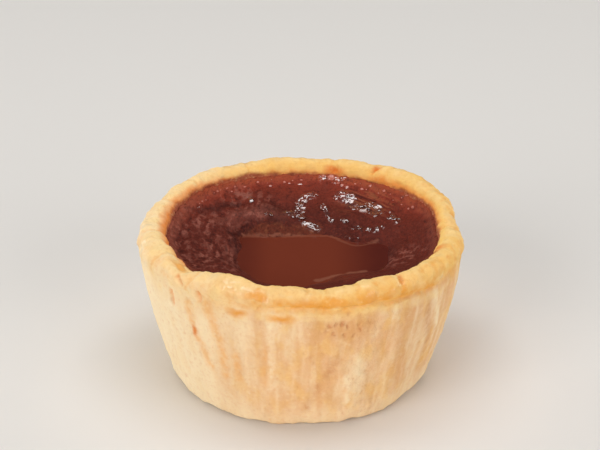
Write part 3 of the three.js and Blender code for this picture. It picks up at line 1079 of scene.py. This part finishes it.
# %% [markdown]
# ### The filling's tree
# The puck is given the solid's outline and heights, with a thin uneven edge that climbs the pastry, and
# each point keeps its distance from the edge as an attribute, `from_edge`, for the finish and the
# bubbles. Then the heights are ironed, but not at the edge, or it would come away from the pastry.

# %% Shape the filling
SOUNDING_HEIGHT = 60 * MM
EDGE_HEIGHT = 31 * MM  # a little below the lowest place where the filling meets the pastry
EDGE_RADIUS = 30 * MM  # about as far from the axis as the edge is
FILLING_FLOOR = 5.1 * MM
FILLING_LEAN = 3.5 * MM  # the underside is this much smaller than the top
JUST_INSIDE = 0.05 * MM  # a sounding at the very edge would miss the solid
DOWN = (0, 0, -1)
FILLING_AMOUNTS = {
    "Settled filling": solids["filling"],
    "Tuck": 0.9 * MM,
    "Climb": 0.45 * MM,
    "Ironing": 10,
    "Skin height": 0.19 * MM,
    "Skin size": SKIN_SIZE,
    "Pit depth": 0.35 * MM,
    "Pit size": 2.0 * MM,
    "Froth height": 0.17 * MM,
    "Froth size": 2.2 * MM,
    "Burst spacing": 2.4 * MM,
    "Ring height": 0.2 * MM,
    "Comb height": 0.03 * MM,
    "Ripple height": 0.1 * MM,
    "Flap height": 0.3 * MM,
    "Seed": FILLING_SEED,
}
filling_tree, given = open_tree("settled filling", FILLING_AMOUNTS)
seed = given["Seed"]
place = position(seed)
solid = shape_of(given["Settled filling"])
share, heading, drop = in_puck(place)
outline = outline_of(solid, heading, EDGE_HEIGHT)
radius = share * (outline + given["Tuck"])
inside = radius.maths("MINIMUM", radius, outline - JUST_INSIDE)
landed = sounded(solid, at_radius(heading, inside, SOUNDING_HEIGHT), DOWN)
climb = given["Climb"] * (0.4 + uneven(heading.scaled(EDGE_RADIUS), 1.6 * MM, seed + 6, 4.0))
top_height = landed.axis("Z") + climb * smooth(outline - radius, 1.5 * MM, 0.0)
height = top_height + (FILLING_FLOOR - top_height) * drop
marked = place.node("GeometryNodeStoreNamedAttribute", None, {
    "Geometry": given["Net"],
    "Name": "from_edge",
    "Value": outline - radius,
})
settled = moved(marked, Position=at_radius(heading, radius - share * drop * FILLING_LEAN, height))
from_edge = carried(seed, "from_edge")
evened = ironed(place, given["Ironing"], smooth(from_edge, 0.4 * MM, 2.0 * MM))
calm = moved(settled, Position=place.flat().vector("ADD", evened.times(0, 0, 1)))
print("amounts for the filling:", len(FILLING_AMOUNTS))

# %% [markdown]
# ### The filling's relief
# A drying skin crinkles in ridges and keeps the pits of burst bubbles. Froth is a tangle of ridges and
# rings, and what was left smooth is combed and rippled as it sank. All of it is on the top only, so that
# the side stays clean where it is tucked into the pastry.

# %% Skin and froth
plan = place.flat()
loose_plan = loosened(plan, place, seed)
top_only = smooth(place.axis("Z"), 23 * MM, 25 * MM) * smooth(from_edge, -0.2 * MM, 1.0 * MM)
on_skin = patches(loose_plan, SKIN, 0.6)
wrinkle = given["Skin height"] * crinkled(place, given["Skin size"], seed) * on_skin
pits = given["Pit depth"] * smooth(cells(plan, given["Pit size"], seed + 1), 0.4 * MM, 0.0) * on_skin
ridged = 1 - abs(uneven(place, given["Froth size"], seed + 2, 0.0)) / 0.9
worms = ridged.maths("MAXIMUM", ridged, 0.0)
bursts = smooth(abs(cells(plan, given["Burst spacing"], seed + 5) - 0.7 * MM), 0.5 * MM, 0.0)
off_rings = 1 - either([in_ring(plan, *ring) for ring in RINGS])
froth = given["Froth height"] * (worms + 0.8 * bursts) * froth_height(plan) * off_rings
rings = given["Ring height"] * either([ringed(plan, *ring, 0.45 * MM) for ring in RINGS])
print("so far:", len(filling_tree.nodes), "nodes")

# %% Flap, brink and ripples
flap = given["Flap height"] * path(loose_plan, FLAP, 3.0 * MM, 0.3)
hollows = either([path(loose_plan, BRINK, 1.6 * MM, 0.0), path(loose_plan, GROOVE, 1.5 * MM, 0.0)])
brink = given["Flap height"] * worn_away(place, seed) * hollows
comb = given["Comb height"] * uneven(drawn_round(place), 0.7 * MM, seed + 3, 2.0) * (1 - on_skin)
ripple = given["Ripple height"] * uneven(place, 3.5 * MM, seed + 4, 3.0)
crusted = raised(calm, top_only * (wrinkle - pits + froth + rings + comb + ripple + flap - brink))
close_tree(crusted, given["Finish"])

# %% [markdown]
# ### The filling's finish
# It goes from dry to wet: a dusty mauve brown on the skin, partly a painted sheen, red where it is thin
# against the pastry, and dark maroon at the right. The troughs between the skin's ridges, its brink and the
# groove are darkened as painted shade, drawn by the same noise and lines as their relief.

# %% Filling colours
MAROON = tint(95, 38, 28)
RED_BROWN = tint(124, 48, 33)
DUSTY_SHEEN = tint(142, 82, 69)
OLIVE = tint(98, 44, 27)
DARK = tint(58, 22, 18)
THIN_RED = tint(150, 57, 37)
THIN_ORANGE = tint(200, 104, 50)
FILM = tint(160, 84, 64)
BRUSHED = tint(142, 80, 52)
PAINTED_SHORE_HIGHLIGHT = tint(144, 88, 68)
SYRUP = tint(119, 53, 35)
print("red in the darkest and the dustiest brown:", round(DARK[0], 3), round(DUSTY_SHEEN[0], 3))

# %% Filling finish: skin and slopes
caramel_finish, filling_shader, where = open_finish("baked caramel")
edge_seen = noted(where, "from_edge")
edge_wander = 0.8 * MM * uneven(where, 1.8 * MM, 36.0, 3.0)
plan = where.flat()
loose_plan = loosened(plan, where, FILLING_SEED)
at_back = smooth(where.axis("Y"), 2 * MM, 22 * MM)
blotch = smooth(cloudy(where, 3.2 * MM, 32.0, 4.0), 0.38, 0.62)
thin_streaks = uneven(drawn_round(where), 0.8 * MM, 43.0, 3.0)
combed = uneven(drawn_round(where), 1.0 * MM, 49.0, 2.0)
in_comb = patches(loose_plan, COMBED)
skin_seen = patches(loose_plan, SKIN, 0.6)
plates = smooth(cloudy(drawn_back(where), 2.6 * MM, 34.0, 4.0), 0.4, 0.6)
scurf = uneven(drawn_back(where), 1.3 * MM, 48.0, 3.0)
ridge_seen = crinkled(where, SKIN_SIZE, FILLING_SEED)
on_terrace = path(loose_plan, TERRACE, 2.6 * MM, 0.3)
worn = worn_away(where, FILLING_SEED)
slope_colour = layered(MAROON, [
    (at_back * (0.5 + 0.5 * blotch) * smooth(edge_seen, 11 * MM, 2 * MM), RED_BROWN),
    (0.45 * at_back * smooth(edge_seen + 2 * edge_wander, 8 * MM, 14 * MM), DARK),
    (0.35 * (1 - skin_seen) * smooth(thin_streaks, 0.0, 1.2), THIN_RED),
    # lighter combed lines: partly flow lines, partly a painted sheen on the fine ridges
    (0.8 * in_comb * smooth(combed, -0.1, 0.4), BRUSHED),
    (0.7 * in_comb * smooth(combed, -0.1, -0.5), DARK),
    # the skin's dusty mauve: partly its colour, partly a painted sheen of soft light on the matte skin
    (skin_seen * (0.35 + 0.65 * plates) * smooth(scurf, -0.1, 0.5), DUSTY_SHEEN),
    (0.6 * skin_seen * smooth(scurf, -0.15, -0.7), DARK),
    # dark in the troughs between the skin's ridges: painted shade
    (0.6 * skin_seen * smooth(ridge_seen, 0.1, -0.5), DARK),
    (0.4 * path(loose_plan, FLAP, 3.2 * MM, 0.0), DUSTY_SHEEN),
    (0.75 * on_terrace, OLIVE),
    (0.55 * on_terrace * smooth(uneven(where, 1.4 * MM, 52.0, 3.0), 0.1, 0.8), BRUSHED),
    # dark along the brink and the groove: painted shadow under the skin's edge and painted shade in the
    # groove
    ((0.3 + 0.5 * worn) * path(loose_plan, BRINK, 1.7 * MM, 0.0), DARK),
    (0.7 * path(loose_plan, GROOVE, 1.7 * MM, 0.0), DARK),
    (0.4 * patches(loose_plan, SHADED, 0.2), DARK),
])
print("skin and slopes:", len(caramel_finish.node_tree.nodes), "nodes")

# %% [markdown]
# ### Edge, shore and gloss
# Where the filling runs out against the pastry it is thin, and light comes back through it red and orange. A
# pale line along the syrup's shore is a painted highlight of its meniscus, and some lighter patches at the
# front right are partly a painted sheen. Over all of it lies a fine grain, and only the froth is wet enough
# to shine, so the gloss is a clear coat that lies there, over a dull base.

# %% Filling finish: edge, shore and grain
torn_plan = ragged(plan, where, 0.5 * MM, 1.5 * MM, 31.0)
thinnest = (0.05 + 0.13 * at_back) * (1 - 0.6 * skin_seen)
# lighter patches at the front right: partly dusting, partly a painted sheen of reflected light
sheen_dusted = patches(loose_plan, SHEEN_DUSTED_PATCHES, 0.2) * smooth(uneven(where, 1.2 * MM, 50.0, 2.0), 0.0, 0.5)
fleck = uneven(where, 0.9 * MM, 45.0, 2.0)
fine = cloudy(where, 0.5 * MM, 38.0, 2.0)
filling_colour = layered(slope_colour, [
    (0.55 * at_back * smooth(edge_seen + 2 * edge_wander, 3.4 * MM, 0.4 * MM), THIN_RED),
    ((0.25 + 0.2 * skin_seen) * smooth(edge_seen + edge_wander, 2.0 * MM, 0.3 * MM), FILM),
    (thinnest * smooth(edge_seen + edge_wander, 1.3 * MM, -0.1 * MM), THIN_ORANGE),
    # the meniscus along both shores: a painted highlight
    (0.6 * path(torn_plan, BACK_SHORE, 0.55 * MM), PAINTED_SHORE_HIGHLIGHT),
    (0.6 * patches(loose_plan, SYRUPY, 0.2), SYRUP),
    (0.7 * path(torn_plan, FRONT_SHORE, 0.6 * MM), PAINTED_SHORE_HIGHLIGHT),
    (0.9 * sheen_dusted, DUSTY_SHEEN),
    ((0.15 + 0.25 * skin_seen) * smooth(fleck, 0.1, 1.0), DUSTY_SHEEN),
    (0.6 * smooth(fleck, -0.1, -1.0), DARK),
    (0.25 * smooth(fine, 0.5, 0.74), THIN_RED),
    (0.4 * smooth(fine, 0.5, 0.26), DARK),
])
print("with edge, shore and grain:", len(caramel_finish.node_tree.nodes), "nodes")

# %% Filling finish: gloss
WET_IOR = 2.7  # a wet bubble glints more than plain sugar would
WET_ROUGHNESS = 0.05
froth_seen = froth_on(plan)
drier = 0.6 * either([smooth(plan.axis("Y"), 17 * MM, 15 * MM), smooth(plan.axis("Y"), 26 * MM, 27 * MM)])
wet = froth_seen * smooth(uneven(where, 1.2 * MM, 47.0, 1.0) - drier, -0.8, -0.2)
feed(filling_shader, {
    "Base Color": filling_colour,
    "Roughness": 0.6 - 0.3 * froth_seen,
    "Coat Weight": wet,
    "Normal": bumped(fine, 0.2 * MM),
    "Specular IOR Level": 0.1,
    "Coat Roughness": WET_ROUGHNESS,
    "Coat IOR": WET_IOR,
})
print("filling finish:", len(caramel_finish.node_tree.nodes), "nodes")

# %% Make the filling
caramel_filling = make_piece("caramel_filling", filling_net, filling_tree, FILLING_AMOUNTS, caramel_finish)

# %% [markdown]
# ## The bubbles
# Where the filling frothed, small bubbles set on it as wet domes, and a lace of smaller, pinker and
# duller ones lines the back, against the pastry. They are far too many to place by hand, so a tree
# scatters points on the finished filling, in the froth and along the back edge, and sets a flattened dome
# of a few faces on each.

# %% The bubbles' tree
BUBBLE_AMOUNTS = {
    "Filling": caramel_filling,
    "Spacing": 1.05 * MM,
    "Smallest": 0.25 * MM,
    "Largest": 0.95 * MM,
    "Flatness": 0.3,
    "Thickly": 1.3e6,  # points on a square metre, before the spacing thins them
    "Seed": 4,
}
NARROWEST = 0.45  # the least share of its length that a bubble is wide


def by_lot(low, high, seed):
    """A number for each bubble, anywhere between two."""
    return seed.node("FunctionNodeRandomValue", {"data_type": "FLOAT"}, {2: low, 3: high, "Seed": seed}, 1)


bubble_tree, given = open_tree("set bubbles", BUBBLE_AMOUNTS)
seed = given["Seed"]
place = position(seed)
from_edge = carried(seed, "from_edge")
near_edge = smooth(from_edge, 2.2 * MM, 1.2 * MM) * smooth(from_edge, 0.3 * MM, 0.6 * MM)
along_back = near_edge * smooth(place.axis("Y"), 10 * MM, 20 * MM)
upper_side = smooth(place.axis("Z"), 25.9 * MM, 26.4 * MM)
scattered = place.node("GeometryNodeDistributePointsOnFaces", {"distribute_method": "POISSON"}, {
    "Mesh": shape_of(given["Filling"]),
    "Distance Min": given["Spacing"],
    "Density Max": given["Thickly"],
    "Density Factor": upper_side * either([froth_on(place.flat()), 0.9 * along_back]),
    "Seed": seed,
})
size = by_lot(given["Smallest"], given["Largest"], seed) * (1 - 0.6 * along_back)
oval = by_lot(NARROWEST, 1.0, 1 + seed)
dome = place.node("GeometryNodeMeshUVSphere", None, {"Segments": 12, "Rings": 6, "Radius": 1.0}, "Mesh")
domes = place.node("GeometryNodeInstanceOnPoints", None, {
    "Points": scattered,
    "Instance": dome,
    "Rotation": scattered.out("Rotation"),
    "Scale": place.point(size, size * oval, size * oval * given["Flatness"]),
})
close_tree(domes, given["Finish"])

# %% Make the bubbles
BUBBLE = tint(138, 58, 41)
LACE = tint(196, 116, 98)
bubble_finish, bubble_shader, where = open_finish("wet bubbles")
lacy = smooth(where.flat().length(), 27.5 * MM, 28.5 * MM)
bubble_colour = layered(BUBBLE, [(smooth(where.axis("Y"), 26 * MM, 14 * MM), MAROON), (0.8 * lacy, LACE)])
feed(bubble_shader, {
    "Base Color": bubble_colour,
    "Coat Weight": 1 - 0.85 * lacy,
    "Roughness": 0.3,
    "Specular IOR Level": 0.2,
    "Coat Roughness": WET_ROUGHNESS,
    "Coat IOR": WET_IOR,
})
no_net = bpy.data.meshes.new("no net")
set_bubbles = make_piece("set_bubbles", no_net, bubble_tree, BUBBLE_AMOUNTS, bubble_finish)

# %% [markdown]
# ## The syrup
# The pool lies level in the hollow, and creeps up a little where it wets its shore. Its net is another
# puck. A level ray finds the solid's shore in each direction, and the piece reaches past it, under the
# filling, so that the shoreline is where the two surfaces really meet.

# %% The pool's tree
POOL_RINGS = np.concatenate([np.linspace(0, 0.7, 14, endpoint=False), np.linspace(0.7, 1, 26)])
POOL_COLUMNS = 300
POOL_SIDE = 0.4 * MM  # the shore is looked for this far below the level
POOL_SUNK = 0.1 * MM  # the level lies this far below the solid's top, and the creeping shore makes it up
POOL_AMOUNTS = {
    "Pool": solids["syrup_pool"],
    "Filling": caramel_filling,
    "Level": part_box("syrup_pool")[1].z - POOL_SUNK,
    "Reach": 2.2 * MM,
    "Creep": 0.12 * MM,
    "Creep width": 0.4 * MM,
    "Depth": 2.4 * MM,
}
pool_tree, given = open_tree("syrup pool", POOL_AMOUNTS)
level = given["Level"]
share, heading, drop = in_puck(position(level))
radius = share * (outline_of(shape_of(given["Pool"]), heading, level - POOL_SIDE) + given["Reach"])
bed_point = sounded(shape_of(given["Filling"]), at_radius(heading, radius, SOUNDING_HEIGHT), DOWN)
creep = given["Creep"] * smooth(level - bed_point.axis("Z"), given["Creep width"], 0.0)
sunk = drop * given["Depth"] * (1 - 0.8 * share * share)
pooled = moved(given["Net"], Position=at_radius(heading, radius, level + creep - sunk))
close_tree(pooled, given["Finish"])

# %% [markdown]
# ### The syrup's finish
# Syrup is smooth and lets the bed show through: lighter in the middle, darker at both ends, where it is deep
# in shade. A pale line along the shore is a painted highlight, where the syrup's meniscus wets the filling.

# %% Syrup finish and pool
SYRUP_DEEP = tint(84, 31, 25)
syrup_finish, syrup_shader, where = open_finish("runny syrup")
right_end = smooth(where.axis("X"), 6 * MM, 19 * MM)
left_end = smooth(where.axis("X"), -6 * MM, -13 * MM)
murk = cloudy(where, 8 * MM, 41.0, 2.0)
torn_plan = ragged(where.flat(), where, 0.4 * MM, 2.5 * MM, 42.0)
syrup_colour = layered(SYRUP, [
    (0.8 * right_end + 0.45 * left_end + 0.15 * murk, SYRUP_DEEP),
    # the pale shore lines: a painted highlight of the meniscus
    (0.7 * path(torn_plan, FRONT_SHORE, 0.9 * MM), PAINTED_SHORE_HIGHLIGHT),
    (0.45 * path(torn_plan, BACK_SHORE, 0.6 * MM, 0.0), PAINTED_SHORE_HIGHLIGHT),
])
feed(syrup_shader, {"Base Color": syrup_colour, "Roughness": 0.1 + 0.05 * murk, "Specular IOR Level": 0.1})
pool_net = puck("pool net", POOL_RINGS, POOL_COLUMNS)
syrup = make_piece("syrup", pool_net, pool_tree, POOL_AMOUNTS, syrup_finish)

# %% [markdown]
# ## On the frame
# Each piece stands for its solid, which stays behind it for weight and collision, and rides on the only body.
# The bubbles stand for nothing of their own: they sit on the filling.

# %% Ride and replace
STANDS_FOR = {
    pastry_crust: ("pastry_cup", "pastry"),
    caramel_filling: ("filling", "filling"),
    syrup: ("syrup_pool", "syrup"),
}
for piece, (node, slot) in STANDS_FOR.items():
    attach(piece, "root")
    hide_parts(node)
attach(set_bubbles, "root")
